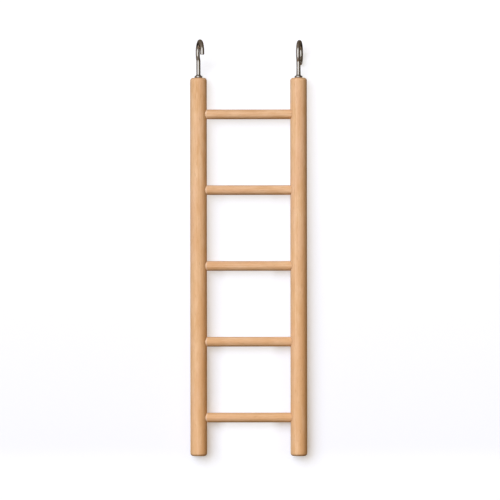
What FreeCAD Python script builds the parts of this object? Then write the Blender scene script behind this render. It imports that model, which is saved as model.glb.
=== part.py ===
import FreeCAD, Part
import math
import os

import Sketcher

# Bird ladder: two round wooden rails, five round rungs glued into blind sockets, and a shouldered
# screw hook in the top end of each rail, all in millimetres.
# X runs across the ladder, Z runs up along the rails, and Y runs from the front to the back.
# The origin is midway between the two hook crowns, where the cage wire lies in them.

Vector = FreeCAD.Vector
UP = Vector(0, 0, 1)
START, END, CENTRE = 1, 2, 3
ORIGIN_POINT = (-1, 1)
VERTICAL_AXIS = -2

DRIVING_SIZES = (
    ("rail_length", 272, "a rail from end to end"),
    ("rail_diameter", 12, "round rod of the rails"),
    ("rail_spacing", 72, "between the axes of the two rails"),
    ("rail_end_round", 2.1, "eased edge round the ends of a rail"),
    ("rung_diameter", 7, "round rod of the rungs"),
    ("rung_count", 5, "rungs in the ladder"),
    ("top_rung_drop", 26.3, "from the top of the rails to the first rung's axis"),
    ("bottom_rung_rise", 27.7, "from the foot of the rails to the last rung's axis"),
    ("rung_end_chamfer", 0.5, "broken edge round the ends of a rung"),
    ("socket_depth", 7, "blind socket, from the side of the rail to its floor"),
    ("socket_clearance", 0.05, "film of glue round a rung in its socket"),
    ("socket_end_gap", 0.4, "room for glue past the end of a rung"),
    ("hook_wire", 3, "diameter of the hook's steel wire"),
    ("hook_stem_height", 11.3, "straight stem, from the wood to the first bend"),
    ("hook_bend_radius", 2.4, "middle of the wire in the bend behind the stem"),
    ("hook_loop_radius", 8, "middle of the wire in the loop"),
    ("hook_loop_offset", 5.6, "loop's centre ahead of the stem's axis"),
    ("hook_tip_round", 0.3, "blunted edge of the wire's cut end"),
    ("left_tip_angle", 12, "degrees that the left loop runs on below its centre"),
    ("right_tip_angle", 66, "degrees that the right loop runs on below its centre"),
    ("left_mouth_angle", -78, "degrees from the X axis to the way that the left mouth faces"),
    ("right_mouth_angle", 82, "degrees from the X axis to the way that the right mouth faces"),
    ("collar_diameter", 5.6, "shoulder that the hook is screwed down to"),
    ("collar_rim", 1.3, "thickness of the shoulder at its edge"),
    ("shank_length", 11, "screw below the shoulder, without its point"),
    ("shank_point", 3.5, "point of the screw"),
    ("shank_clearance", 0.05, "between the screw and the hole that it made"),
)

size = {name: value for name, value, note in DRIVING_SIZES}

# Places that follow from the driving sizes
HOOK_RISE = (
    "(sizes.hook_stem_height + sqrt((sizes.hook_loop_radius + sizes.hook_bend_radius)^2"
    " - (sizes.hook_loop_offset + sizes.hook_bend_radius)^2)"
    " + sizes.hook_loop_radius - sizes.hook_wire / 2)"
)
RUNG_SPAN = "(sizes.rail_length - sizes.top_rung_drop - sizes.bottom_rung_rise)"
RUNG_LENGTH = (
    "(sizes.rail_spacing - sizes.rail_diameter"
    " + 2 * (sizes.socket_depth - sizes.socket_end_gap))"
)


doc = FreeCAD.newDocument("bird_ladder")

sheet = doc.addObject("Spreadsheet::Sheet", "sizes")
for row, (name, value, note) in enumerate(DRIVING_SIZES, start=1):
    sheet.set("A%d" % row, note)
    sheet.set("B%d" % row, str(value))
    sheet.setAlias("B%d" % row, name)
doc.recompute()


def origin_plane(body, role):
    """The body's own origin plane that has this role."""
    for plane in body.Origin.OriginFeatures:
        if plane.Role == role:
            return plane
    raise ValueError(role)


def new_body(name):
    """An empty body that carries the sub-part's name."""
    body = doc.addObject("PartDesign::Body", name)
    body.Label = name
    return body


def new_sketch(body, name, role, offset=None):
    """A sketch on one of the body's origin planes, moved along its normal by an expression."""
    sketch = body.newObject("Sketcher::SketchObject", name)
    sketch.AttachmentSupport = (origin_plane(body, role), [""])
    sketch.MapMode = "FlatFace"
    if offset:
        sketch.setExpression("AttachmentOffset.Base.z", offset)
    return sketch


def bind(sketch, constraint, label, expression):
    """Adds a dimension to the sketch and ties it to the sheet."""
    index = sketch.addConstraint(constraint)
    sketch.renameConstraint(index, label)
    sketch.setExpression("Constraints." + label, expression)


def draw_circle(sketch, radius, expression, at=None):
    """A circle round the sketch's origin, or round a point up its vertical axis."""
    centre = Vector(0, at[0], 0) if at else Vector()
    circle = sketch.addGeometry(Part.Circle(centre, UP, radius))
    bind(sketch, Sketcher.Constraint("Radius", circle, radius), "radius", expression)
    if at:
        sketch.addConstraint(Sketcher.Constraint("PointOnObject", circle, CENTRE, VERTICAL_AXIS))
        height = Sketcher.Constraint("DistanceY", *ORIGIN_POINT, circle, CENTRE, at[0])
        bind(sketch, height, "height", at[1])
    else:
        sketch.addConstraint(Sketcher.Constraint("Coincident", circle, CENTRE, *ORIGIN_POINT))
    sketch.Visibility = False


def circular_edges(feature, wanted):
    """Names of the feature's circular edges whose centre passes the test."""
    names = []
    for number, edge in enumerate(feature.Shape.Edges, start=1):
        if isinstance(edge.Curve, Part.Circle) and wanted(edge.Curve.Center):
            names.append("Edge%d" % number)
    return names


def place(body, x, z, turn):
    """Puts a body at its place, given as expressions, and turns it about its upright axis."""
    body.Placement = FreeCAD.Placement(Vector(), FreeCAD.Rotation(UP, 10))
    body.setExpression("Placement.Base.x", x)
    body.setExpression("Placement.Base.z", z)
    body.setExpression("Placement.Rotation.Angle", turn)


# Rails
# A rail is a length of rod whose own frame has its top end at the origin. Its sockets face its
# own +X, so the right rail is the same piece turned round.
def make_rail(name, x, turn):
    body = new_body(name)

    section = new_sketch(body, name + "_section", "XY_Plane")
    draw_circle(section, size["rail_diameter"] / 2, "sizes.rail_diameter / 2")
    rod = body.newObject("PartDesign::Pad", name + "_rod")
    rod.Profile = section
    rod.Reversed = True
    rod.setExpression("Length", "sizes.rail_length")
    doc.recompute()

    ends = body.newObject("PartDesign::Fillet", name + "_ends")
    ends.Base = (rod, circular_edges(rod, lambda centre: True))
    ends.setExpression("Radius", "sizes.rail_end_round")

    mouth = new_sketch(
        body, name + "_socket_floor", "YZ_Plane", "sizes.rail_diameter / 2 - sizes.socket_depth"
    )
    draw_circle(
        mouth,
        size["rung_diameter"] / 2,
        "sizes.rung_diameter / 2 + sizes.socket_clearance",
        at=(-size["top_rung_drop"], "-sizes.top_rung_drop"),
    )
    socket = body.newObject("PartDesign::Pocket", name + "_socket")
    socket.Profile = mouth
    socket.Type = "ThroughAll"
    socket.Reversed = True
    doc.recompute()

    sockets = body.newObject("PartDesign::LinearPattern", name + "_sockets")
    sockets.Originals = [socket]
    sockets.Direction = (mouth, ["V_Axis"])
    sockets.Reversed = True
    sockets.setExpression("Length", RUNG_SPAN)
    sockets.setExpression("Occurrences", "sizes.rung_count")
    body.Tip = sockets
    doc.recompute()

    hole = new_sketch(body, name + "_hook_hole", "XZ_Plane")
    draw_screw_hole(hole)
    drilled = body.newObject("PartDesign::Groove", name + "_drilled")
    drilled.Profile = hole
    drilled.ReferenceAxis = (hole, ["V_Axis"])
    drilled.Angle = 360
    body.Tip = drilled

    place(body, x, "-" + HOOK_RISE, turn)
    return body


def draw_screw_hole(sketch):
    """Half of the hole that the hook's screw made: straight, then drawn to a point."""
    radius = size["hook_wire"] / 2
    corners = (
        Vector(0, 0, 0),
        Vector(radius, 0, 0),
        Vector(radius, -size["shank_length"], 0),
        Vector(0, -size["shank_length"] - size["shank_point"], 0),
    )
    sides = draw_outline(sketch, corners)
    sketch.addConstraint(Sketcher.Constraint("Coincident", sides[0], START, *ORIGIN_POINT))
    sketch.addConstraint(Sketcher.Constraint("Horizontal", sides[0]))
    sketch.addConstraint(Sketcher.Constraint("Vertical", sides[1]))
    sketch.addConstraint(Sketcher.Constraint("Vertical", sides[3]))
    bind(
        sketch,
        Sketcher.Constraint("DistanceX", sides[0], START, sides[0], END, radius),
        "radius",
        "sizes.hook_wire / 2 + sizes.shank_clearance",
    )
    bind(
        sketch,
        Sketcher.Constraint("DistanceY", sides[1], END, sides[1], START, size["shank_length"]),
        "depth",
        "sizes.shank_length",
    )
    bind(
        sketch,
        Sketcher.Constraint("DistanceY", sides[2], END, sides[2], START, size["shank_point"]),
        "point",
        "sizes.shank_point + sizes.shank_clearance",
    )


def draw_outline(sketch, corners):
    """A closed chain of straight sides through the corners, joined end to end."""
    sides = []
    for here, there in zip(corners, corners[1:] + corners[:1]):
        sides.append(sketch.addGeometry(Part.LineSegment(here, there)))
    for side, following in zip(sides, sides[1:] + sides[:1]):
        sketch.addConstraint(Sketcher.Constraint("Coincident", side, END, following, START))
    return sides


# Rungs
# A rung is a length of thinner rod whose own frame has its middle at the origin.
def make_rung(number):
    name = "rung_%d" % number
    body = new_body(name)

    section = new_sketch(body, name + "_section", "YZ_Plane", "-" + RUNG_LENGTH + " / 2")
    draw_circle(section, size["rung_diameter"] / 2, "sizes.rung_diameter / 2")
    rod = body.newObject("PartDesign::Pad", name + "_rod")
    rod.Profile = section
    rod.setExpression("Length", RUNG_LENGTH)
    doc.recompute()

    ends = body.newObject("PartDesign::Chamfer", name + "_ends")
    ends.Base = (rod, circular_edges(rod, lambda centre: True))
    ends.setExpression("Size", "sizes.rung_end_chamfer")

    drop = "sizes.top_rung_drop + %d * %s / (sizes.rung_count - 1)" % (number - 1, RUNG_SPAN)
    place(body, "0", "-" + HOOK_RISE + " - (" + drop + ")", "0")
    return body


# Hooks
# A hook is one length of wire whose own frame has its shoulder on the wood at the origin and
# its mouth facing its own +X. The screw, the shoulder and the stem are turned about the upright
# axis, and the bend and the loop are the wire carried along two arcs that meet tangentially.
def make_hook(name, side, x):
    body = new_body(name)

    half = new_sketch(body, name + "_turned", "XZ_Plane")
    draw_turned_profile(half)
    turned = body.newObject("PartDesign::Revolution", name + "_stem")
    turned.Profile = half
    turned.ReferenceAxis = (half, ["V_Axis"])
    turned.Angle = 360
    doc.recompute()

    path = new_sketch(body, name + "_path", "XZ_Plane")
    draw_loop_path(path, side)
    section = new_sketch(body, name + "_wire", "XY_Plane", "sizes.hook_stem_height")
    draw_circle(section, size["hook_wire"] / 2, "sizes.hook_wire / 2")
    loop = body.newObject("PartDesign::AdditivePipe", name + "_loop")
    loop.Profile = section
    loop.Spine = (path, ["Edge1", "Edge2"])
    body.Tip = loop
    doc.recompute()

    angle = math.radians(size[side + "_tip_angle"])
    reach = Vector(size["hook_loop_radius"] * math.cos(angle), 0, 0)
    drop = Vector(0, 0, -size["hook_loop_radius"] * math.sin(angle))
    tip = Vector(size["hook_loop_offset"], 0, loop_centre_height()) + reach + drop
    blunted = body.newObject("PartDesign::Fillet", name + "_tip")
    blunted.Base = (loop, circular_edges(loop, lambda centre: centre.isEqual(tip, 0.001)))
    blunted.setExpression("Radius", "sizes.hook_tip_round")
    body.Tip = blunted

    place(body, x, "-" + HOOK_RISE, "sizes." + side + "_mouth_angle")
    return body


def loop_centre_height():
    """Height of the loop's centre over the wood: the two arcs touch, so their centres lie the
    sum of their radii apart, and that line's reach across is the loop's offset and one bend."""
    apart = size["hook_loop_radius"] + size["hook_bend_radius"]
    across = size["hook_loop_offset"] + size["hook_bend_radius"]
    return size["hook_stem_height"] + math.sqrt(apart**2 - across**2)


def draw_loop_path(sketch, side):
    """Middle line of the wire above the stem: a short bend backwards, then the loop over it."""
    stem_top = size["hook_stem_height"]
    bend = size["hook_bend_radius"]
    loop = size["hook_loop_radius"]
    offset = size["hook_loop_offset"]
    tip_angle = -math.radians(size[side + "_tip_angle"])
    bend_centre = Vector(-bend, stem_top, 0)
    loop_centre = Vector(offset, loop_centre_height(), 0)
    turn = math.atan2(loop_centre.y - bend_centre.y, loop_centre.x - bend_centre.x)

    first = sketch.addGeometry(
        Part.ArcOfCircle(Part.Circle(bend_centre, UP, bend), 0, turn)
    )
    second = sketch.addGeometry(
        Part.ArcOfCircle(Part.Circle(loop_centre, UP, loop), tip_angle, turn + math.pi)
    )
    tip = loop_centre + Vector(math.cos(tip_angle), math.sin(tip_angle), 0) * loop
    spoke = sketch.addGeometry(Part.LineSegment(loop_centre, tip), True)

    sketch.addConstraint(Sketcher.Constraint("PointOnObject", first, START, VERTICAL_AXIS))
    sketch.addConstraint(Sketcher.Constraint("Horizontal", first, CENTRE, first, START))
    sketch.addConstraint(Sketcher.Constraint("Tangent", first, END, second, END))
    sketch.addConstraint(Sketcher.Constraint("Coincident", spoke, START, second, CENTRE))
    sketch.addConstraint(Sketcher.Constraint("Coincident", spoke, END, second, START))
    bind(
        sketch,
        Sketcher.Constraint("DistanceY", *ORIGIN_POINT, first, START, stem_top),
        "stem_top",
        "sizes.hook_stem_height",
    )
    bind(sketch, Sketcher.Constraint("Radius", first, bend), "bend", "sizes.hook_bend_radius")
    bind(sketch, Sketcher.Constraint("Radius", second, loop), "loop", "sizes.hook_loop_radius")
    bind(
        sketch,
        Sketcher.Constraint("DistanceX", *ORIGIN_POINT, second, CENTRE, offset),
        "offset",
        "sizes.hook_loop_offset",
    )
    bind(
        sketch,
        Sketcher.Constraint("Angle", spoke, tip_angle),
        "tip_angle",
        "-sizes." + side + "_tip_angle",
    )


def draw_turned_profile(sketch):
    """Half of the screw, the shoulder with its hollow flare, and the stem, from the point up."""
    wire = size["hook_wire"] / 2
    rim = size["collar_rim"]
    edge = size["collar_diameter"] / 2
    flare = edge - wire
    low = Vector(0, -size["shank_length"] - size["shank_point"], 0)
    neck = Vector(wire, -size["shank_length"], 0)
    corners = (
        low,
        neck,
        Vector(wire, 0, 0),
        Vector(edge, 0, 0),
        Vector(edge, rim, 0),
        Vector(wire, rim + flare, 0),
        Vector(wire, size["hook_stem_height"], 0),
        Vector(0, size["hook_stem_height"], 0),
    )
    sides = []
    for index, here in enumerate(corners):
        there = corners[(index + 1) % len(corners)]
        if index == 4:
            circle = Part.Circle(Vector(edge, rim + flare, 0), UP, flare)
            sides.append(sketch.addGeometry(Part.ArcOfCircle(circle, math.pi, 1.5 * math.pi)))
        else:
            sides.append(sketch.addGeometry(Part.LineSegment(here, there)))
    point, thread, seat, lip, hollow, stem, top, axis = sides

    for one, one_end, other, other_end in (
        (point, END, thread, START),
        (thread, END, seat, START),
        (seat, END, lip, START),
        (lip, END, hollow, END),
        (hollow, START, stem, START),
        (stem, END, top, START),
        (top, END, axis, START),
        (axis, END, point, START),
    ):
        sketch.addConstraint(Sketcher.Constraint("Coincident", one, one_end, other, other_end))
    for upright in (thread, lip, stem, axis):
        sketch.addConstraint(Sketcher.Constraint("Vertical", upright))
    for level in (seat, top):
        sketch.addConstraint(Sketcher.Constraint("Horizontal", level))
    sketch.addConstraint(Sketcher.Constraint("PointOnObject", axis, START, VERTICAL_AXIS))
    sketch.addConstraint(Sketcher.Constraint("PointOnObject", seat, START, -1))
    sketch.addConstraint(Sketcher.Constraint("Vertical", hollow, CENTRE, hollow, END))
    sketch.addConstraint(Sketcher.Constraint("Horizontal", hollow, CENTRE, hollow, START))
    bind(
        sketch,
        Sketcher.Constraint("DistanceX", *ORIGIN_POINT, thread, END, wire),
        "screw_radius",
        "sizes.hook_wire / 2",
    )
    bind(
        sketch,
        Sketcher.Constraint("DistanceX", *ORIGIN_POINT, stem, START, wire),
        "stem_radius",
        "sizes.hook_wire / 2",
    )
    bind(
        sketch,
        Sketcher.Constraint("DistanceX", *ORIGIN_POINT, lip, START, edge),
        "collar_radius",
        "sizes.collar_diameter / 2",
    )
    bind(
        sketch,
        Sketcher.Constraint("DistanceY", lip, START, lip, END, rim),
        "rim",
        "sizes.collar_rim",
    )
    bind(
        sketch,
        Sketcher.Constraint("DistanceY", *ORIGIN_POINT, stem, END, size["hook_stem_height"]),
        "stem_height",
        "sizes.hook_stem_height",
    )
    bind(
        sketch,
        Sketcher.Constraint("DistanceY", thread, START, thread, END, size["shank_length"]),
        "shank_length",
        "sizes.shank_length",
    )
    bind(
        sketch,
        Sketcher.Constraint("DistanceY", point, START, point, END, size["shank_point"]),
        "shank_point",
        "sizes.shank_point",
    )


# The whole ladder
LEFT = "-sizes.rail_spacing / 2"
RIGHT = "sizes.rail_spacing / 2"
pieces = [
    make_rail("rail_left", LEFT, "0"),
    make_rail("rail_right", RIGHT, "180"),
    make_hook("hook_left", "left", LEFT),
    make_hook("hook_right", "right", RIGHT),
]
for rung_number in range(1, int(size["rung_count"]) + 1):
    pieces.append(make_rung(rung_number))
doc.recompute()

for item in doc.Objects:
    if "Invalid" in item.State or "Error" in item.State:
        raise RuntimeError("failed: " + item.Name)
    if item.isDerivedFrom("Sketcher::SketchObject") and not item.FullyConstrained:
        raise RuntimeError("a side is free to move: " + item.Name)
for piece in pieces:
    if piece.Shape.isNull() or not piece.Shape.isValid() or len(piece.Shape.Solids) != 1:
        raise RuntimeError("not one sound solid: " + piece.Label)

os.makedirs("parts", exist_ok=True)
for piece in pieces:
    piece.Shape.exportStep(os.path.join("parts", piece.Label + ".step"))
    box = piece.Shape.BoundBox
    print("%-11s %8.1f mm3  x %6.2f %6.2f  y %6.2f %6.2f  z %7.2f %7.2f" % (
        piece.Label, piece.Shape.Volume, box.XMin, box.XMax, box.YMin, box.YMax, box.ZMin, box.ZMax
    ))
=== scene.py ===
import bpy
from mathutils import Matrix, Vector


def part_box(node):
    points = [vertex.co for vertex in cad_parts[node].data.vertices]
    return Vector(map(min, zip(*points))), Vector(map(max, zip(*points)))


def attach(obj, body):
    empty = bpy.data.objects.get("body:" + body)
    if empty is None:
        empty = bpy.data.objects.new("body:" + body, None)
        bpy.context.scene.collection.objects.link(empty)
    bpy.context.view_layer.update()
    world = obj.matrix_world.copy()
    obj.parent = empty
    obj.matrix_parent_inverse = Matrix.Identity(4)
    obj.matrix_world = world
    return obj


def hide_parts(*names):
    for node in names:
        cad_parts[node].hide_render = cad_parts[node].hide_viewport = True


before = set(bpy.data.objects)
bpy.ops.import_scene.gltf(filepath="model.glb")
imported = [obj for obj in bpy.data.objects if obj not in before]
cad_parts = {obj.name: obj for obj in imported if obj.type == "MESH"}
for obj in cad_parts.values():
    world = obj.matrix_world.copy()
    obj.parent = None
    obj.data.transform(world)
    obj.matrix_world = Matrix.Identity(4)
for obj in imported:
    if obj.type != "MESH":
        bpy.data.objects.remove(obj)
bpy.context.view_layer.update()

import math

import bmesh
import bpy
import numpy as np
from mathutils import Matrix


# The rails. Two round rods of pale close-grained wood, sawn to length, with the edges of their
# ends eased by sanding. Each has five blind sockets drilled in its inner side and a hole in its
# top end for the hook. The right rail is the left one turned half round.

MM = 0.001
TURN = 2 * math.pi

# Lengths here and below are in millimetres
RAIL_RADIUS = 6.0
RAIL_END_ROUND = 2.1
RAIL_RIPPLE = 0.025       # depth of the waves that sanding leaves
SOCKET_RADIUS = 3.55
SOCKET_FLOOR = -1.0       # past the rail's axis, seen from the mouth of the socket
SOCKET_LIP = 0.12         # edge of the mouth, worn round by the drill
SOCKET_FLOOR_RINGS = (0.7, 0.4, 0)    # of the mesh, as shares of the socket's radius
SOCKET_WALL_CELLS = 7
SOCKET_RIM_CELLS = 13     # from the mouth to the window's rim
SCREW_HOLE_RADIUS = 1.55
SCREW_HOLE_DEPTH = 11.0
SCREW_HOLE_POINT = 3.55
SCREW_HOLE_EDGE = 0.1     # broken edge of the hole's mouth
GLUE_SHADE_FADE = 0.45          # how far the dark glue line and painted contact shade of a joint spread on the rail
END_RINGS = (3.6, 3.1, 2.5, 1.9)      # radii of the mesh's rings on a flat end
SIDE_CELL = 1.5           # longest cell along the side, between the windows for the sockets
BACK_CELLS = 66           # cells round the side that has no sockets
WINDOW_HALF_ANGLE = math.radians(48)
WINDOW_HALF_HEIGHT = 4.9
WINDOW_CELLS = 22
RUNG_NODES = ("rung_1", "rung_2", "rung_3", "rung_4", "rung_5")


def node_centre(node):
    """Middle of a CAD node's box, in millimetres."""
    low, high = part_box(node)
    return np.array(low + high) / 2 / MM


def stretch(*stops):
    """Numbers that run evenly from each stop to the next; a stop is (value, cells before it)."""
    parts = [[stops[0][0]]]
    for (start, _), (end, cells) in zip(stops, stops[1:]):
        parts.append(np.linspace(start, end, cells + 1)[1:])
    return np.concatenate(parts)


def ripple(angle, height, depth, seed):
    """How far a sanded rod falls short of round: three slow waves round and along it, each
    (1 + sin(turns x angle + height / length + phase)) / 2, weighted to add up to the depth."""
    phases = np.random.default_rng(seed).uniform(0, TURN, 3)
    shares = (0.45, 0.35, 0.2)
    waves = ((2, 61.0), (3, 23.0), (7, 140.0))
    total = 0
    for share, (turns, length), phase in zip(shares, waves, phases):
        total = total + share * (1 + np.sin(turns * angle + height / length + phase)) / 2
    return depth * total


def lip_drop(distance, lip):
    """Depth of a rounded edge: a quarter circle of the lip's radius, zero past the lip."""
    inward = np.clip(lip - distance, 0, lip)
    return lip - np.sqrt(lip**2 - inward**2)


def make_piece(name, sheets, node, material):
    """One closed mesh from grids of points in millimetres. Each sheet is a dict: points (rows,
    columns, 3), whose columns close on themselves, marks (name to one number a point) and keep
    (one flag a cell). Points that meet are merged, and a row of one point becomes a pole."""
    points, faces, marks, start = [], [], {}, 0
    for sheet in sheets:
        grid = sheet["points"]
        index = start + np.arange(grid.shape[0] * grid.shape[1]).reshape(grid.shape[:2])
        after = np.roll(index, -1, axis=1)
        cells = np.stack([index[:-1], after[:-1], after[1:], index[1:]], axis=-1)
        faces.append(cells[sheet["keep"]] if "keep" in sheet else cells.reshape(-1, 4))
        points.append(grid.reshape(-1, 3) * MM)
        for mark, values in sheet["marks"].items():
            marks.setdefault(mark, []).append(np.broadcast_to(values, index.shape).ravel())
        start += index.size
    mesh = bpy.data.meshes.new(name)
    mesh.from_pydata(np.concatenate(points), [], np.concatenate(faces))
    for mark, values in marks.items():
        layer = mesh.attributes.new(mark, "FLOAT", "POINT")
        layer.data.foreach_set("value", np.concatenate(values).astype(np.float32))
    shell = bmesh.new()
    shell.from_mesh(mesh)
    bmesh.ops.remove_doubles(shell, verts=shell.verts, dist=2e-7)
    loose = [vertex for vertex in shell.verts if not vertex.link_faces]
    bmesh.ops.delete(shell, geom=loose, context="VERTS")
    bmesh.ops.recalc_face_normals(shell, faces=shell.faces)
    shell.to_mesh(mesh)
    shell.free()
    mesh.shade_smooth()
    mesh.set_sharp_from_angle(angle=math.radians(42))
    mesh.materials.append(material)
    piece = bpy.data.objects.new(name, mesh)
    bpy.context.scene.collection.objects.link(piece)
    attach(piece, "root")
    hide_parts(node)
    return piece


def rail_profile(foot, top, rung_heights):
    """A rail's outline from the middle of its foot up its side, over its top and down the hook's
    hole. Gives four rows: radius, height, how far the wood is cut across the grain, and whether
    it is inside the hole. The rounds are quarter circles."""
    stops = [(foot + RAIL_END_ROUND, 0)]
    for rung in sorted(rung_heights):
        gap = rung - WINDOW_HALF_HEIGHT - stops[-1][0]
        stops.append((rung - WINDOW_HALF_HEIGHT, math.ceil(gap / SIDE_CELL)))
        stops.append((rung + WINDOW_HALF_HEIGHT, WINDOW_CELLS))
    stops.append((top - RAIL_END_ROUND, math.ceil((top - stops[-1][0]) / SIDE_CELL)))
    bend = np.linspace(0, math.pi / 2, 9)
    rise, fall = bend[:-1], bend[1:]
    flat = RAIL_RADIUS - RAIL_END_ROUND
    hole, edge = SCREW_HOLE_RADIUS, SCREW_HOLE_EDGE
    shaft = top - stretch((edge, 0), (SCREW_HOLE_DEPTH, 6))
    parts = (
        (np.append(0, END_RINGS[::-1]), foot, 1, 0),
        (flat + RAIL_END_ROUND * np.sin(rise), foot + RAIL_END_ROUND * (1 - np.cos(rise)),
         1 - np.sin(rise), 0),
        (RAIL_RADIUS, stretch(*stops), 0, 0),
        (flat + RAIL_END_ROUND * np.cos(fall), top - RAIL_END_ROUND * (1 - np.sin(fall)),
         1 - np.cos(fall), 0),
        (np.append(END_RINGS, hole + edge), top, 1, 0),
        (hole + 0.3 * edge, top - 0.3 * edge, 1, 0),
        (hole, shaft, 1, 1),
        (np.array([hole / 2, 0]), shaft[-1] - SCREW_HOLE_POINT * np.array([0.5, 1]), 1, 1),
    )
    return np.concatenate([np.broadcast_arrays(*np.atleast_1d(*part)) for part in parts], axis=1)


def rail_sheets(foot, top, rung_heights, seed):
    """A rail about the Z axis with its sockets facing +X: its outline carried round, with a
    square window left open at each socket, and in each window the socket's own sheet."""
    def radius_at(angle, height):
        return RAIL_RADIUS - ripple(angle, height, RAIL_RIPPLE, seed)

    # Dark glue line with painted contact shade round each socket's mouth, fading with distance
    def glue_shade_mark(x, y, z):
        gap = np.min([np.hypot(y, z - rung) for rung in rung_heights], axis=0) - SOCKET_RADIUS
        return np.where(x > 0, np.exp(-np.clip(gap, 0, None) / GLUE_SHADE_FADE), 0)

    angles = stretch(
        (-WINDOW_HALF_ANGLE, 0), (WINDOW_HALF_ANGLE, WINDOW_CELLS),
        (TURN - WINDOW_HALF_ANGLE, BACK_CELLS)
    )[:-1]
    radii, heights, cut, inside = rail_profile(foot, top, rung_heights)
    angle, height = np.meshgrid(angles, heights)
    rippled = np.clip((radii - 4) / 2, 0, 1)[:, None]
    radius = radii[:, None] - rippled * ripple(angle, height, RAIL_RIPPLE, seed)
    points = np.stack([radius * np.cos(angle), radius * np.sin(angle), height], axis=-1)

    keep = np.ones((heights.size - 1, angles.size), bool)
    sockets = []
    step = np.arange(WINDOW_CELLS)
    none, full = 0 * step, 0 * step + WINDOW_CELLS
    for rung in rung_heights:
        low = int(np.argmin(abs(heights - (rung - WINDOW_HALF_HEIGHT))))
        keep[low:low + WINDOW_CELLS, :WINDOW_CELLS] = False
        rows = low + np.concatenate([none, step, full, WINDOW_CELLS - step])
        columns = np.concatenate([step, full, WINDOW_CELLS - step, none])
        sockets.append(socket_sheet(angles[columns], heights[rows], rung, radius_at, glue_shade_mark))
    marks = {
        "glue_shade": glue_shade_mark(*np.moveaxis(points, -1, 0)) * (1 - cut[:, None]),
        "cut": cut[:, None],
        "inside": inside[:, None],
    }
    return [{"points": points, "keep": keep, "marks": marks}] + sockets


def socket_sheet(rim_angle, rim_height, rung, radius_at, glue_shade_mark):
    """A blind socket and the wood round its mouth. Rings run from the floor's centre out to the
    wall, up the wall and over a rounded lip, whose radius wanders as two sines of the angle round
    the mouth, and then spread to the window's square rim by the square of their number."""
    around = np.arctan2(rim_height - rung, RAIL_RADIUS * np.sin(rim_angle))
    edge_y = SOCKET_RADIUS * np.cos(around)
    edge_z = rung + SOCKET_RADIUS * np.sin(around)
    edge_angle = np.arcsin(edge_y / RAIL_RADIUS)
    share = np.linspace(0, 1, SOCKET_RIM_CELLS + 1)[:, None] ** 2
    angle = edge_angle + (rim_angle - edge_angle) * share
    height = edge_z + (rim_height - edge_z) * share
    radius = radius_at(angle, height)
    away = np.hypot(RAIL_RADIUS * (angle - edge_angle), height - edge_z)
    lip = SOCKET_LIP * (1 + 0.5 * np.sin(3 * around + rung) + 0.3 * np.sin(8 * around - rung))
    spread = np.stack([
        radius * np.cos(angle) - lip_drop(away, lip),
        radius * np.sin(angle),
        height,
    ], axis=-1)
    down = np.linspace(1, 0, SOCKET_WALL_CELLS + 1)[1:, None]
    floor = np.full_like(around, SOCKET_FLOOR)
    wall = np.stack(np.broadcast_arrays(
        floor + (spread[0, :, 0] - floor) * down, spread[0, :, 1], spread[0, :, 2]
    ), axis=-1)
    inward = np.array(SOCKET_FLOOR_RINGS)[:, None]
    base = np.stack(np.broadcast_arrays(
        floor, edge_y * inward, rung + (edge_z - rung) * inward
    ), axis=-1)
    points = np.concatenate([spread[::-1], wall, base])
    inside = np.zeros(len(points))
    inside[len(spread):] = 1
    marks = {
        "glue_shade": glue_shade_mark(*np.moveaxis(points, -1, 0)),
        "cut": 0,
        "inside": inside[:, None],
    }
    return {"points": points, "marks": marks}


def set_sockets(tree, node, values):
    """Sets a node's inputs by name or place, or links them where a value is a node's output."""
    for key, value in values.items():
        if isinstance(value, bpy.types.NodeSocket):
            tree.links.new(value, node.inputs[key])
        else:
            node.inputs[key].default_value = value


def add_node(tree, kind, values=None, **settings):
    """A shader node of the kind, with its settings and its inputs."""
    node = tree.nodes.new("ShaderNode" + kind)
    for name, value in settings.items():
        setattr(node, name, value)
    set_sockets(tree, node, values or {})
    return node


def maths(tree, operation, *values):
    """Output of one Math node on numbers or outputs."""
    return add_node(tree, "Math", dict(enumerate(values)), operation=operation).outputs[0]


def vector_maths(tree, operation, *values):
    """Output of one Vector Math node on vectors or outputs."""
    node = add_node(tree, "VectorMath", dict(enumerate(values)), operation=operation)
    return node.outputs["Value" if operation == "LENGTH" else "Vector"]


def blend(tree, factor, first, second):
    """Output of a colour Mix node."""
    values = {0: factor, 6: first, 7: second}
    return add_node(tree, "Mix", values, data_type="RGBA").outputs[2]


def ramp(tree, value, low, high, start=0.0, end=1.0):
    """Straight ramp of a value from low..high to start..end, held at both ends."""
    return add_node(tree, "MapRange", {0: value, 1: low, 2: high, 3: start, 4: end}).outputs[0]


def noise(tree, place, spacing, detail, roughness=0.5):
    """Noise node whose lumps are about the given lengths in millimetres along X, Y and Z."""
    finer = vector_maths(tree, "MULTIPLY", place, [1 / length for length in spacing])
    return add_node(tree, "TexNoise", {
        "Vector": finer, "Scale": 1.0, "Detail": detail, "Roughness": roughness,
    })


def split(tree, vector):
    """Outputs X, Y and Z of a vector."""
    return add_node(tree, "SeparateXYZ", {0: vector}).outputs


def mark_value(tree, name):
    """The number that a mesh attribute has at the point shaded."""
    return add_node(tree, "Attribute", attribute_name=name).outputs["Fac"]


def object_place(tree, turn=(0, 0, 0), shift=(0, 0, 0)):
    """Object coordinates in millimetres, turned and shifted for the pattern."""
    place = add_node(tree, "TexCoord").outputs["Object"]
    return add_node(tree, "Mapping", {
        "Vector": place, "Scale": (1 / MM,) * 3, "Rotation": turn, "Location": shift,
    }).outputs[0]


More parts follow.
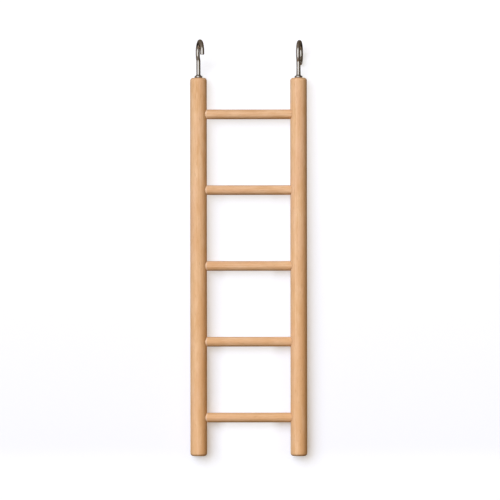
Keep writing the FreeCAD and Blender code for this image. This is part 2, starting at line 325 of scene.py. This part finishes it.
def new_group(name, takes):
    """Node group of a finish: takes the named inputs and gives Colour, Roughness and Height.
    Returns its tree, the inputs by name and the output node."""
    tree = bpy.data.node_groups.new(name, "ShaderNodeTree")
    for title, kind in takes:
        tree.interface.new_socket(title, in_out="INPUT", socket_type="NodeSocket" + kind)
    for title, kind in (("Colour", "Color"), ("Roughness", "Float"), ("Height", "Float")):
        tree.interface.new_socket(title, in_out="OUTPUT", socket_type="NodeSocket" + kind)
    inputs = {socket.name: socket for socket in tree.nodes.new("NodeGroupInput").outputs}
    return tree, inputs, tree.nodes.new("NodeGroupOutput")


def new_material(name):
    """A new material, its tree and its Principled BSDF."""
    material = bpy.data.materials.new(name)
    material.use_nodes = True
    return material, material.node_tree, material.node_tree.nodes["Principled BSDF"]


def apply_finish(tree, surface, finish, depth, strength):
    """Colour, roughness and relief of a finish on a surface; the depth is in millimetres."""
    relief = add_node(tree, "Bump", {
        "Height": finish["Height"], "Distance": depth * MM, "Strength": strength,
    })
    set_sockets(tree, surface, {
        "Base Color": finish["Colour"], "Roughness": finish["Roughness"],
        "Normal": relief.outputs[0],
    })


# Sizes of what shows in the wood, across its grain twice and along it
SWAY = (14, 14, 75)
FIBRES = (0.42, 0.42, 11.0)
PATCHES = (3.5, 3.5, 14.0)
PORES = (0.3, 0.3, 4.0)
FLUSH = (9, 9, 30)
SWAY_WIDTH = 3.0
RINGS_PER_MM = 0.85
WOOD_RELIEF = 0.03
WOOD_SHINE = 0.12

PALE_RAIL = (0.93, 0.635, 0.36, 1)
DEEP_RAIL = (0.72, 0.40, 0.165, 1)
BLUSH = (0.84, 0.51, 0.29, 1)
HONEY = (0.79, 0.455, 0.20, 1)
DARK_PORE = (0.36, 0.17, 0.07, 1)
# Pale tint of the painted highlight on each rung's end by the left rail
PAINTED_HIGHLIGHT_TINT = (1.0, 0.75, 0.49, 1)

# The most that each of these covers what is under it
BLUSH_SHARE = 0.6
PORE_SHARE = 0.38
# Next three: dark glue line with painted contact shade, painted shade inside sockets and holes,
# and a painted highlight on each rung's end by the left rail
GLUE_SHADE_SHARE = 0.3
INSIDE_SHADE_SHARE = 0.6
PAINTED_HIGHLIGHT_SHARE = 0.85

# Honey: from this height down to that one, and its shares there
HONEY_BELOW = (-110, -290, 0.0, 0.6)
# The second is painted shade, on the side of each rail away from the lamp
HONEY_ON_SHADED_SIDE = (-80, -200, 0.0, 0.6)

RAIL_HEART = (14.0, 70.0, 0.0)        # middle of the tree's rings
# Side of each rail away from the lamp, where honey comes sooner as painted shade
PAINTED_SHADE_SIDE = (0.97, -0.26, 0.0)
PAINTED_SHADE_START = 0.2     # this and the next as shares of the rail's radius
PAINTED_SHADE_FADE = 0.45


def make_wood_figure():
    """Figure of pale wood whose grain runs along Z, in millimetres. Growth rings are a line of
    noise read by distance from the tree's heart, bent by slow noise; fibres and pores are noise
    drawn out along the grain; patches are wide soft noise. Cut ends are darker. A glue line with
    painted contact shade darkens where two pieces meet, and painted shade the inside of sockets
    and holes; a painted highlight lightens a rung's end by the left rail. The honey input also
    carries painted shade on the side of a rail away from the lamp."""
    tree, takes, gives = new_group("wood figure", (
        ("Place", "Vector"), ("Heart", "Vector"), ("Pale", "Color"), ("Deep", "Color"),
        ("Blush", "Color"), ("Honey", "Color"), ("Pore", "Color"), ("Highlight tint", "Color"),
        ("Age", "Float"), ("Cut", "Float"), ("Glue shade", "Float"), ("Painted highlight", "Float"),
        ("Inside", "Float"),
    ))
    place = takes["Place"]
    wander = noise(tree, place, SWAY, 1.0).outputs["Color"]
    sway = vector_maths(tree, "SUBTRACT", wander, (0.5, 0.5, 0.5))
    sway = vector_maths(tree, "MULTIPLY", sway, (SWAY_WIDTH, SWAY_WIDTH, 0.0))
    bent = vector_maths(tree, "ADD", place, sway)
    across = vector_maths(tree, "SUBTRACT", bent, takes["Heart"])
    distance = vector_maths(tree, "LENGTH", vector_maths(tree, "MULTIPLY", across, (1, 1, 0)))
    rings = add_node(tree, "TexNoise", {
        "W": maths(tree, "MULTIPLY", distance, RINGS_PER_MM),
        "Scale": 1.0, "Detail": 3.0, "Roughness": 0.6,
    }, noise_dimensions="1D").outputs[0]
    fibres = noise(tree, bent, FIBRES, 3.0, 0.6).outputs[0]
    patches = noise(tree, place, PATCHES, 2.0).outputs[0]
    pores = ramp(tree, noise(tree, place, PORES, 1.0).outputs[0], 0.62, 0.78)
    flush = noise(tree, vector_maths(tree, "ADD", place, (40, 7, 90)), FLUSH, 2.0).outputs[0]

    tone = maths(tree, "MULTIPLY_ADD", fibres, 0.25, maths(tree, "MULTIPLY", rings, 0.4))
    tone = maths(tree, "MULTIPLY_ADD", patches, 0.35, tone)
    tone = ramp(tree, tone, 0.36, 0.64)
    # Honey towards the foot, and painted shade in honey on the side of a rail away from the lamp
    honey_and_shade = maths(tree, "MULTIPLY", takes["Age"], ramp(tree, patches, 0.3, 0.6, 0.55, 1.0))
    sawn = maths(tree, "MULTIPLY", takes["Cut"], ramp(tree, rings, 0.3, 0.7, 0.35, 0.75))
    # Glue line with painted contact shade, and painted shade inside sockets and holes
    glue_and_painted_shade = maths(tree, "MAXIMUM", maths(tree, "MULTIPLY", takes["Glue shade"], GLUE_SHADE_SHARE),
                  maths(tree, "MULTIPLY", takes["Inside"], INSIDE_SHADE_SHARE))
    colour = takes["Pale"]
    for factor, tint in (
        (tone, "Deep"),
        (ramp(tree, flush, 0.45, 0.75, 0.0, BLUSH_SHARE), "Blush"),
        (honey_and_shade, "Honey"),
        (maths(tree, "MULTIPLY", pores, PORE_SHARE), "Pore"),
        (sawn, "Pore"),
        (glue_and_painted_shade, "Pore"),
        # Painted highlight on a rung's end by the left rail
        (maths(tree, "MULTIPLY", takes["Painted highlight"], PAINTED_HIGHLIGHT_SHARE), "Highlight tint"),
    ):
        colour = blend(tree, factor, colour, takes[tint])
    rough = maths(tree, "MULTIPLY_ADD", tone, 0.12, 0.52)
    rough = maths(tree, "MULTIPLY_ADD", takes["Cut"], 0.2, rough)
    height = maths(tree, "MULTIPLY_ADD", fibres, 0.6, maths(tree, "MULTIPLY", rings, 0.4))
    height = maths(tree, "MULTIPLY_ADD", pores, -0.5, height)
    set_sockets(tree, gives, {"Colour": colour, "Roughness": rough, "Height": height})
    return tree


def wood_material(name, turn, shift, heart, pale, deep):
    """Raw sanded wood, a little satin, with its figure in colour, roughness and fine relief. It
    turns honey towards the foot, and sooner, as painted shade, on the side of a rail away from
    the lamp."""
    material, tree, surface = new_material(name)
    height = split(tree, object_place(tree))["Z"]
    # Painted shade: honey comes sooner on the side of a rail away from the lamp
    painted_shade_side = ramp(tree, height, *HONEY_ON_SHADED_SIDE)
    honey_and_shade_share = maths(tree, "MULTIPLY_ADD", mark_value(tree, "painted_shade_side"), painted_shade_side,
                ramp(tree, height, *HONEY_BELOW))
    figure = add_node(tree, "Group", {
        "Place": object_place(tree, turn, shift), "Heart": heart, "Pale": pale, "Deep": deep,
        "Blush": BLUSH, "Honey": HONEY, "Pore": DARK_PORE, "Highlight tint": PAINTED_HIGHLIGHT_TINT, "Age": honey_and_shade_share,
        "Cut": mark_value(tree, "cut"), "Glue shade": mark_value(tree, "glue_shade"),
        "Painted highlight": mark_value(tree, "painted_highlight_mark"), "Inside": mark_value(tree, "inside"),
    }, node_tree=wood_figure)
    apply_finish(tree, surface, figure.outputs, WOOD_RELIEF, 0.6)
    surface.inputs["Specular IOR Level"].default_value = WOOD_SHINE
    return material


wood_figure = make_wood_figure()
rail_wood = wood_material("rail wood", (0, 0, 0), (0, 0, 0), RAIL_HEART, PALE_RAIL, DEEP_RAIL)

rung_heights = [node_centre(node)[2] for node in RUNG_NODES]
for node, seed, turned in (("rail_left", 3, 1), ("rail_right", 8, -1)):
    low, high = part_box(node)
    sheets = rail_sheets(low.z / MM, high.z / MM, rung_heights, seed)
    for sheet in sheets:
        sheet["points"] = sheet["points"] * (turned, turned, 1)
        # Painted shade: mark the side of each rail away from the lamp for honey
        share = sheet["points"] @ PAINTED_SHADE_SIDE / RAIL_RADIUS
        painted_shade_side = np.clip((share - PAINTED_SHADE_START) / PAINTED_SHADE_FADE, 0, 1)
        sheet["marks"]["painted_shade_side"] = painted_shade_side
        sheet["points"] = sheet["points"] + (node_centre(node)[0], 0, 0)
    make_piece(node + "_wood", sheets, node, rail_wood)


# The rungs. Five thinner round rods of the same wood with the edges of their ends broken. Each
# end is glued into a socket of a rail. The right end shows a hair of dark glue line with painted
# contact shade, and the left end a painted highlight where it meets the rail.

RUNG_RADIUS = 3.5
RUNG_HALF_LENGTH = 36.6
RUNG_CHAMFER = 0.5
RUNG_RIPPLE = 0.04
RAIL_AXIS = 36.0          # from the ladder's middle
GLUE_SHADE_LINE = 0.3
PAINTED_HIGHLIGHT_REACH = 1.12       # from the rail's side
PAINTED_HIGHLIGHT_FADE = 0.8
RUNG_END_RINGS = (0, 1.2, 2.2)        # radii of the mesh's rings on a flat end
RUNG_MIDDLE_HALF = 27.0   # half the stretch between the rails, whose cells are longer
RUNG_AROUND = 72          # cells round a rung
PALE_RUNG = (0.91, 0.62, 0.36, 1)
DEEP_RUNG = (0.67, 0.365, 0.155, 1)
RUNG_HEART = (22.0, 48.0, 0.0)
RUNG_GRAIN_TURN = (0, math.radians(-90), 0)
RUNG_GRAIN_SHIFT = (30.0, 12.0, 5.0)


def rung_sheet(centre, seed):
    """A rung along X: its profile carried round, a flat end, a broken edge and a side that
    falls short of round by the ripple of sanding."""
    end = RUNG_HALF_LENGTH
    inner = RUNG_RADIUS - RUNG_CHAMFER
    edge = end - RUNG_CHAMFER
    side = stretch((-edge, 0), (-RUNG_MIDDLE_HALF, 34), (RUNG_MIDDLE_HALF, 54), (edge, 34))
    lengths = np.concatenate([[-end] * 4, side, [end] * 4])
    flat = np.append(RUNG_END_RINGS, inner)
    radii = np.concatenate([flat, np.full(side.size, RUNG_RADIUS), flat[::-1]])
    angle, along = np.meshgrid(np.linspace(0, TURN, RUNG_AROUND + 1)[:-1], lengths)
    radius = radii[:, None] - (radii[:, None] > inner) * ripple(angle, along, RUNG_RIPPLE, seed)
    y = radius * np.cos(angle)
    points = np.stack([along, y, radius * np.sin(angle)], axis=-1) + centre
    rail_side = RAIL_AXIS - np.sqrt(RAIL_RADIUS**2 - y**2)
    inside = np.clip((abs(along) - rail_side) / GLUE_SHADE_LINE, 0, 1)
    # Painted highlight: pale on the rung's end just outside the left rail
    painted_highlight = np.clip((PAINTED_HIGHLIGHT_REACH - (rail_side + along)) / PAINTED_HIGHLIGHT_FADE, 0, 1)
    marks = {
        # Dark glue line with painted contact shade at the right end
        "glue_shade": np.exp(-abs(rail_side - along) / GLUE_SHADE_LINE),
        "cut": (radii <= inner).astype(float)[:, None],
        "inside": inside,
        "painted_highlight_mark": (1 - inside) * painted_highlight,
    }
    return {"points": points, "marks": marks}


rung_wood = wood_material("rung wood", RUNG_GRAIN_TURN, RUNG_GRAIN_SHIFT, RUNG_HEART,
                          PALE_RUNG, DEEP_RUNG)
for number, node in enumerate(RUNG_NODES):
    sheet = rung_sheet(node_centre(node), 20 + number)
    make_piece(node + "_wood", [sheet], node, rung_wood)


# The hooks. Each is one length of steel wire, nickel-plated bright: a gimlet-pointed screw with
# a rolled thread, a flared shoulder, a straight stem, a short bend behind it, an open loop and a
# blunt cut tip. They are screwed into the tops of the rails and face opposite ways.

WIRE_RADIUS = 1.5
STEM_TOP = 11.3
BEND_RADIUS = 2.4
LOOP_RADIUS = 8.0
LOOP_OFFSET = 5.6
TIP_ROUND = 0.3
COLLAR_RADIUS = 2.8
COLLAR_RIM = 1.3
COLLAR_EDGE = 0.08        # easing of the shoulder's lower edge
SHANK_LENGTH = 11.0
SHANK_POINT = 3.5
NECK_RADIUS = 1.35        # of the shank where the thread runs out
THREAD_PITCH = 1.15
THREAD_DEPTH = 0.34
THREAD_TOP = -0.6         # height, from the shoulder's foot
THREAD_RUN_OUT = 1.5
RIDGE_SLOPE = 2.2         # these two clip the wave of the thread to a flat-topped ridge
RIDGE_SINK = 0.9
WIRE_AROUND = 40          # cells round the wire
TARNISH_REACH = 0.8       # up from the shoulder's foot
BLOTCHES = (1.6, 1.6, 2.4)
SPECKS = (0.25, 0.25, 0.25)
WIRE_RELIEF = 0.02
METAL = (0.80, 0.775, 0.74, 1)
TARNISH = (0.30, 0.22, 0.15, 1)


def hook_path(tip_angle):
    """Middle line above the shoulder in the plane of the hook, u towards the mouth and v up: the
    stem, an arc bending backwards and the loop's arc, which touch. Gives points and sideways
    directions."""
    apart = LOOP_RADIUS + BEND_RADIUS
    across = LOOP_OFFSET + BEND_RADIUS
    loop_height = STEM_TOP + math.sqrt(apart**2 - across**2)
    turn = math.atan2(loop_height - STEM_TOP, across)
    stem = stretch((COLLAR_RIM + COLLAR_RADIUS - WIRE_RADIUS, 0), (STEM_TOP, 16))
    bend = np.linspace(0, turn, 15)[1:]
    loop = np.linspace(turn + math.pi, math.radians(tip_angle), 130)[1:]
    bend_way = np.stack([np.cos(bend), np.sin(bend)], axis=-1)
    loop_way = np.stack([np.cos(loop), np.sin(loop)], axis=-1)
    points = np.concatenate([
        np.stack([0 * stem, stem], axis=-1),
        (-BEND_RADIUS, STEM_TOP) + BEND_RADIUS * bend_way,
        (LOOP_OFFSET, loop_height) + LOOP_RADIUS * loop_way,
    ])
    sideways = np.concatenate([
        np.stack([0 * stem + 1, 0 * stem], axis=-1), bend_way, -loop_way
    ])
    return points, sideways


def screw_radius(height, angle):
    """Radius of the screw below the shoulder: its core, and on it thread depth x ridge((height /
    pitch) - (angle / turn)), where the ridge is a clipped triangle wave. The thread runs out in
    a neck at the top, and all of it thins to the point."""
    height = height[:, None]
    ridge = np.abs(((height / THREAD_PITCH - angle / TURN) % 1) * 2 - 1)
    ridge = np.clip(ridge * RIDGE_SLOPE - RIDGE_SINK, 0, 1)
    taper = np.clip((height + SHANK_LENGTH + SHANK_POINT) / SHANK_POINT, 0, 1)
    threaded = np.clip((THREAD_TOP - height) / THREAD_RUN_OUT, 0, 1)
    core = WIRE_RADIUS - THREAD_DEPTH
    core = core + (NECK_RADIUS - core) * (1 - threaded)
    return (core + THREAD_DEPTH * ridge * threaded) * taper


def collar_profile():
    """Heights and radii of the shoulder: a foot on the wood, an upright rim and a quarter circle
    hollowed in towards the stem."""
    spread = COLLAR_RADIUS - WIRE_RADIUS
    flare = np.linspace(0, math.pi / 2, 9)[1:-1]
    heights = np.concatenate([
        [-0.3, 0, 0, 0.02, COLLAR_EDGE, COLLAR_RIM - 0.05, COLLAR_RIM],
        COLLAR_RIM + spread * (1 - np.cos(flare)),
    ])
    below_rim = [1.25, 1.25, COLLAR_RADIUS - COLLAR_EDGE, COLLAR_RADIUS - 0.02]
    radii = np.concatenate([
        below_rim, [COLLAR_RADIUS, COLLAR_RADIUS, COLLAR_RADIUS - 0.05],
        COLLAR_RADIUS - spread * np.sin(flare),
    ])
    return heights, radii


def hook_sheet(stem_place, mouth_angle, tip_angle):
    """The hook as circles of wire carried along its line, from the screw's point through the
    shoulder to the tip, whose edge is a quarter circle. The angles are in degrees: the mouth's
    round the stem and the tip's on the loop's arc."""
    path, sideways = hook_path(tip_angle)
    ahead = np.array([-sideways[-1, 1], sideways[-1, 0]])
    ahead = ahead * np.sign(ahead @ (path[-1] - path[-2]))
    ease = np.linspace(0, math.pi / 2, 6)[1:]
    path[-1] -= ahead * TIP_ROUND
    tip_points = path[-1] + ahead * (TIP_ROUND * np.sin(ease))[:, None]
    tip_points = np.concatenate([tip_points, np.repeat(tip_points[-1:], 3, axis=0)])
    tip_radii = np.append(WIRE_RADIUS - TIP_ROUND * (1 - np.cos(ease)), [0.7, 0.3, 0])

    screw = stretch((-SHANK_LENGTH - SHANK_POINT, 0), (-SHANK_LENGTH, 44), (THREAD_TOP, 120))
    collar_heights, collar_radii = collar_profile()
    low = np.concatenate([screw, collar_heights])
    centre = np.concatenate([np.stack([0 * low, low], axis=-1), path, tip_points])
    side = np.concatenate([
        np.broadcast_to([1.0, 0.0], (low.size, 2)), sideways,
        np.repeat(sideways[-1:], len(tip_points), axis=0),
    ])
    angle = np.linspace(0, TURN, WIRE_AROUND + 1)[:-1][None, :]
    plain = np.concatenate([collar_radii, np.full(len(path), WIRE_RADIUS), tip_radii])
    radius = np.concatenate([screw_radius(screw, angle), plain[:, None] + 0 * angle])
    radius[0] = 0

    across_angle = math.radians(mouth_angle)
    mouth = np.array([math.cos(across_angle), math.sin(across_angle), 0])
    flank = np.array([-math.sin(across_angle), math.cos(across_angle), 0])
    upward = np.array([0, 0, 1])
    in_plane = side[:, :1] * mouth + side[:, 1:] * upward
    middle = stem_place + centre[:, :1] * mouth + centre[:, 1:] * upward
    points = (
        middle[:, None, :]
        + (radius * np.cos(angle))[..., None] * in_plane[:, None, :]
        + (radius * np.sin(angle))[..., None] * flank
    )
    corner = np.exp(-np.clip(centre[:, 1:], 0, None) / TARNISH_REACH)
    return {"points": points, "marks": {"corner": corner}}


def make_wire_wear():
    """Wear of drawn and plated wire: a roughness and a relief that wander in blotches and specks,
    and brown tarnish left in the corner at the shoulder. Place is in millimetres."""
    tree, takes, gives = new_group("wire wear", (
        ("Place", "Vector"), ("Corner", "Float"), ("Metal", "Color"), ("Tarnish", "Color"),
    ))
    blotches = noise(tree, takes["Place"], BLOTCHES, 3.0, 0.6).outputs[0]
    specks = noise(tree, takes["Place"], SPECKS, 2.0, 0.6).outputs[0]
    dull = maths(tree, "MULTIPLY", takes["Corner"], ramp(tree, blotches, 0.25, 0.6))
    dull = maths(tree, "MULTIPLY_ADD", ramp(tree, blotches, 0.5, 0.8), 0.25, dull)
    rough = ramp(tree, blotches, 0.3, 0.7, 0.10, 0.18)
    rough = maths(tree, "MULTIPLY_ADD", takes["Corner"], 0.2, rough)
    rough = maths(tree, "MULTIPLY_ADD", specks, 0.06, rough)
    height = maths(tree, "MULTIPLY_ADD", blotches, 0.7, maths(tree, "MULTIPLY", specks, 0.3))
    set_sockets(tree, gives, {
        "Colour": blend(tree, dull, takes["Metal"], takes["Tarnish"]),
        "Roughness": rough, "Height": height,
    })
    return tree


def make_nickel():
    """Bright nickel plate: a mirror that is not quite even."""
    material, tree, surface = new_material("nickel plate")
    wear = add_node(tree, "Group", {
        "Place": object_place(tree), "Corner": mark_value(tree, "corner"),
        "Metal": METAL, "Tarnish": TARNISH,
    }, node_tree=make_wire_wear())
    apply_finish(tree, surface, wear.outputs, WIRE_RELIEF, 0.3)
    surface.inputs["Metallic"].default_value = 1.0
    return material


nickel = make_nickel()
for node, rail, mouth_angle, tip_angle in (
    ("hook_left", "rail_left", -78, -12), ("hook_right", "rail_right", 82, -66)
):
    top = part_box(rail)[1].z / MM
    stem_place = np.array([node_centre(rail)[0], 0, top])
    make_piece(node + "_wire", [hook_sheet(stem_place, mouth_angle, tip_angle)], node,
               nickel)


# The paper that the ladder lies on in the photograph, white and just behind it, and the pale
# floor below. The hooks hold the ladder's head a little off the paper. From behind the paper
# lets the camera see through. It throws no shade on the ladder and doesn't show in its shine.

PAPER_WIDTH = 1400.0      # to each side
PAPER_TOP = 900.0
PAPER_FOOT = -330.0
PAPER_BEHIND = 6.1        # from the rails' middle to the paper
CURL_START = -26.0        # height at which the paper leaves the rails
CURL_HEIGHT = 22.0
CURL_DEPTH = 12.0
SWEEP_RADIUS = 90.0
FLOOR_LENGTH = 4600.0
PAPER_COLOUR = (0.955, 0.985, 0.98, 1)

# Share of glow in what the camera sees: from this place to that one, and the shares there
GLOW_UP_THE_LADDER = (-285, -30, 0.22, 0.55)
GLOW_BELOW_IT = (-290, -305, 0.22, 0.45)
GLOW_ON_THE_FLOOR = (-345, -400, 0.2, 0.9)
GLOW_BETWEEN_RAILS = (29, 16, 0, 0.5)


def ray_seen(tree):
    """One where the camera, a reflection or a clear material looks, otherwise zero."""
    rays = add_node(tree, "LightPath").outputs
    seen = maths(tree, "MAXIMUM", rays["Is Camera Ray"], rays["Is Glossy Ray"])
    return maths(tree, "MAXIMUM", seen, rays["Is Transmission Ray"])


def make_paper_white():
    """Matt white seen as it is lit, lifted towards plain white for the camera by a share of glow
    that grows from the ladder's foot up to its head, down to the floor and between the rails,
    and clear from behind."""
    material, tree, surface = new_material("paper white")
    tree.nodes.remove(surface)
    matt = add_node(tree, "BsdfDiffuse", {"Color": PAPER_COLOUR})
    white = add_node(tree, "Emission", {"Color": (1, 1, 1.02, 1), "Strength": 1.2})
    clear = add_node(tree, "BsdfTransparent")
    place = split(tree, object_place(tree))
    glow = ramp(tree, maths(tree, "ABSOLUTE", place["X"]), *GLOW_BETWEEN_RAILS)
    for stops in (GLOW_UP_THE_LADDER, GLOW_BELOW_IT, GLOW_ON_THE_FLOOR):
        glow = maths(tree, "MAXIMUM", glow, ramp(tree, place["Z"], *stops))
    lift = add_node(tree, "MixShader", {
        0: maths(tree, "MULTIPLY", ray_seen(tree), glow), 1: matt.outputs[0], 2: white.outputs[0],
    })
    both = add_node(tree, "MixShader", {
        0: add_node(tree, "NewGeometry").outputs["Backfacing"],
        1: lift.outputs[0], 2: clear.outputs[0],
    })
    tree.links.new(both.outputs[0], tree.nodes["Material Output"].inputs["Surface"])
    return material


def stage_sheet(name, points, material):
    """A sheet of the stage from a grid of points in millimetres, its front on the side that its
    rows and columns turn to."""
    rows, columns = points.shape[:2]
    index = np.arange(rows * columns).reshape(rows, columns)
    faces = np.stack([index[:-1, :-1], index[1:, :-1], index[1:, 1:], index[:-1, 1:]], axis=-1)
    mesh = bpy.data.meshes.new(name)
    mesh.from_pydata(points.reshape(-1, 3) * MM, [], faces.reshape(-1, 4))
    mesh.shade_smooth()
    mesh.materials.append(material)
    sheet = bpy.data.objects.new(name, mesh)
    bpy.context.scene.collection.objects.link(sheet)
    return sheet


def paper_points():
    """The paper: a plane right behind the rails, curling back above them by depth x t^2 (3 - 2t)
    to clear the hooks, then one quarter circle forward at its foot onto the floor, which runs on
    towards the camera."""
    across = np.linspace(-PAPER_WIDTH, PAPER_WIDTH, 57)[None, :]
    wall = stretch((PAPER_TOP, 0), (60, 14), (-30, 60), (PAPER_FOOT, 20))[:, None]
    curl = np.clip((wall - CURL_START) / CURL_HEIGHT, 0, 1)
    bend = np.linspace(0, math.pi / 2, 17)[1:, None]
    floor = np.linspace(0, FLOOR_LENGTH, 12)[1:, None]
    y = np.concatenate([
        PAPER_BEHIND + CURL_DEPTH * curl**2 * (3 - 2 * curl),
        PAPER_BEHIND - SWEEP_RADIUS * (1 - np.cos(bend)),
        PAPER_BEHIND - SWEEP_RADIUS - floor,
    ])
    z = np.concatenate([
        wall, PAPER_FOOT - SWEEP_RADIUS * np.sin(bend), PAPER_FOOT - SWEEP_RADIUS + 0 * floor
    ])
    return np.stack(np.broadcast_arrays(across, y, z), axis=-1)


paper = stage_sheet("paper", paper_points(), make_paper_white())
paper.visible_shadow = False
paper.visible_diffuse = False
paper.visible_glossy = False


# The light: one wide soft lamp high on the left in front, and a room that lights the ladder
# from the front and the back more than from its sides, warm in front. Dim surroundings with a
# white window in front show only where the wire and the wood shine.

DIM_RADIUS = 900.0
WINDOW_LEFT = 51          # degrees from the front to the window's rim
WINDOW_RIGHT = 18
DIM_LEFT = (0.34, 0.285, 0.235, 1)
DIM_RIGHT = (0.12, 0.092, 0.068, 1)
DIM_BACK = (0.055, 0.038, 0.024, 1)
DIM_LOW = (0.010, 0.006, 0.003, 1)
SIDE_LIGHT = 0.03
END_LIGHT = 0.83
BACK_LIGHT = 1.0          # on top of it, straight from behind
LOW_SHARE = 0.3           # of all this, from below
FRONT_TINT = (1.0, 0.74, 0.41, 1)
BACK_TINT = (1.0, 0.92, 0.82, 1)
KEY_FROM = (-0.58, -1.0, 0.46)
KEY_TINT = (0.90, 1.01, 1.33)
KEY_STRENGTH = 2.42
KEY_WIDTH = 52            # degrees across


def dim_points():
    """A ball round the stage with a round window in front: radius x (sin(away) x cos(around),
    -cos(away), sin(away) x sin(around)), where away runs from the window's rim to the back. The
    rim goes from the left's angle to the right's as ((1 + cos(around)) / 2)^2."""
    around, along = np.meshgrid(np.linspace(0, TURN, 97), np.linspace(0, 1, 49))
    rightward = (0.5 + 0.5 * np.cos(around)) ** 2
    rim = np.radians(WINDOW_LEFT - (WINDOW_LEFT - WINDOW_RIGHT) * rightward)
    away = rim + (math.pi - rim) * along
    return DIM_RADIUS * np.stack(
        [np.sin(away) * np.cos(around), -np.cos(away), np.sin(away) * np.sin(around)], axis=-1
    )


def make_dim_material():
    """Dim brown: grey brown at the left and above, darker at the right and at the back, and
    darkest low down at the back."""
    material, tree, surface = new_material("dim surroundings")
    tree.nodes.remove(surface)
    place = add_node(tree, "TexCoord").outputs["Object"]
    way = split(tree, vector_maths(tree, "NORMALIZE", place))
    tone = blend(tree, ramp(tree, way["X"], -0.5, 0.6), DIM_LEFT, DIM_RIGHT)
    tone = blend(tree, ramp(tree, way["Y"], -0.86, 0.26, 0.0, 0.65), tone, DIM_BACK)
    under = maths(tree, "MULTIPLY", ramp(tree, way["Z"], 0.28, -0.6),
                  ramp(tree, way["Y"], -0.16, 0.36))
    glow = add_node(tree, "Emission", {"Color": blend(tree, under, tone, DIM_LOW)})
    tree.links.new(glow.outputs[0], tree.nodes["Material Output"].inputs["Surface"])
    return material


dim_room = stage_sheet("dim_surroundings", dim_points(), make_dim_material())
dim_room.visible_camera = False
dim_room.visible_diffuse = False
dim_room.visible_shadow = False
dim_room.visible_transmission = False
dim_room.visible_volume_scatter = False

world = bpy.data.worlds.new("white room")
world.use_nodes = True
bpy.context.scene.world = world
room = world.node_tree
way = split(room, add_node(room, "TexCoord").outputs["Generated"])
fill = ramp(room, maths(room, "ABSOLUTE", way["Y"]), 0.2, 1, SIDE_LIGHT, END_LIGHT)
fill = maths(room, "ADD", fill, ramp(room, way["Y"], 0.75, 1, 0, BACK_LIGHT))
fill = maths(room, "MULTIPLY", fill, ramp(room, way["Z"], -0.6, 0.1, LOW_SHARE, 1.0))
tint = blend(room, ramp(room, way["Y"], 0, 0.6), FRONT_TINT, BACK_TINT)
seen = ray_seen(room)
set_sockets(room, room.nodes["Background"], {
    "Strength": blend(room, seen, fill, (1, 1, 1, 1)),
    "Color": blend(room, seen, tint, (1, 1, 1, 1)),
})

key = bpy.data.lights.new("key", "SUN")
key.energy = KEY_STRENGTH
key.angle = math.radians(KEY_WIDTH)
key.color = KEY_TINT
key_lamp = bpy.data.objects.new("key", key)
key_lamp.visible_glossy = False
bpy.context.scene.collection.objects.link(key_lamp)
key_back = KEY_FROM / np.linalg.norm(KEY_FROM)
key_side = np.cross((0, 0, 1), key_back)
key_side = key_side / np.linalg.norm(key_side)
key_axes = np.stack([key_side, np.cross(key_back, key_side), key_back], axis=-1)
key_lamp.rotation_euler = Matrix(key_axes.tolist()).to_euler()


# The camera: square on and far in front, level with the ladder's middle, as the flat ends of the
# rails and the nearly level crowns of the hooks in the photograph show.

CAMERA_PLACE = (0.0, -4000.0, -175.0)
CAMERA_YAW = 0.0137       # these four in degrees
CAMERA_PITCH = 0.3822
CAMERA_ROLL = -0.063
CAMERA_VIEW = 5.147

camera = bpy.data.cameras.new("camera")
camera.sensor_width = 36.0
camera.angle = math.radians(CAMERA_VIEW)
camera.clip_start = 0.01
camera.clip_end = 20.0
viewer = bpy.data.objects.new("camera", camera)
bpy.context.scene.collection.objects.link(viewer)
viewer.matrix_world = (
    Matrix.Translation([value * MM for value in CAMERA_PLACE])
    @ Matrix.Rotation(-math.radians(CAMERA_YAW), 4, "Z")
    @ Matrix.Rotation(math.radians(90 + CAMERA_PITCH), 4, "X")
    @ Matrix.Rotation(math.radians(CAMERA_ROLL), 4, "Z")
)
bpy.context.scene.camera = viewer
bpy.context.scene.view_settings.view_transform = "Standard"
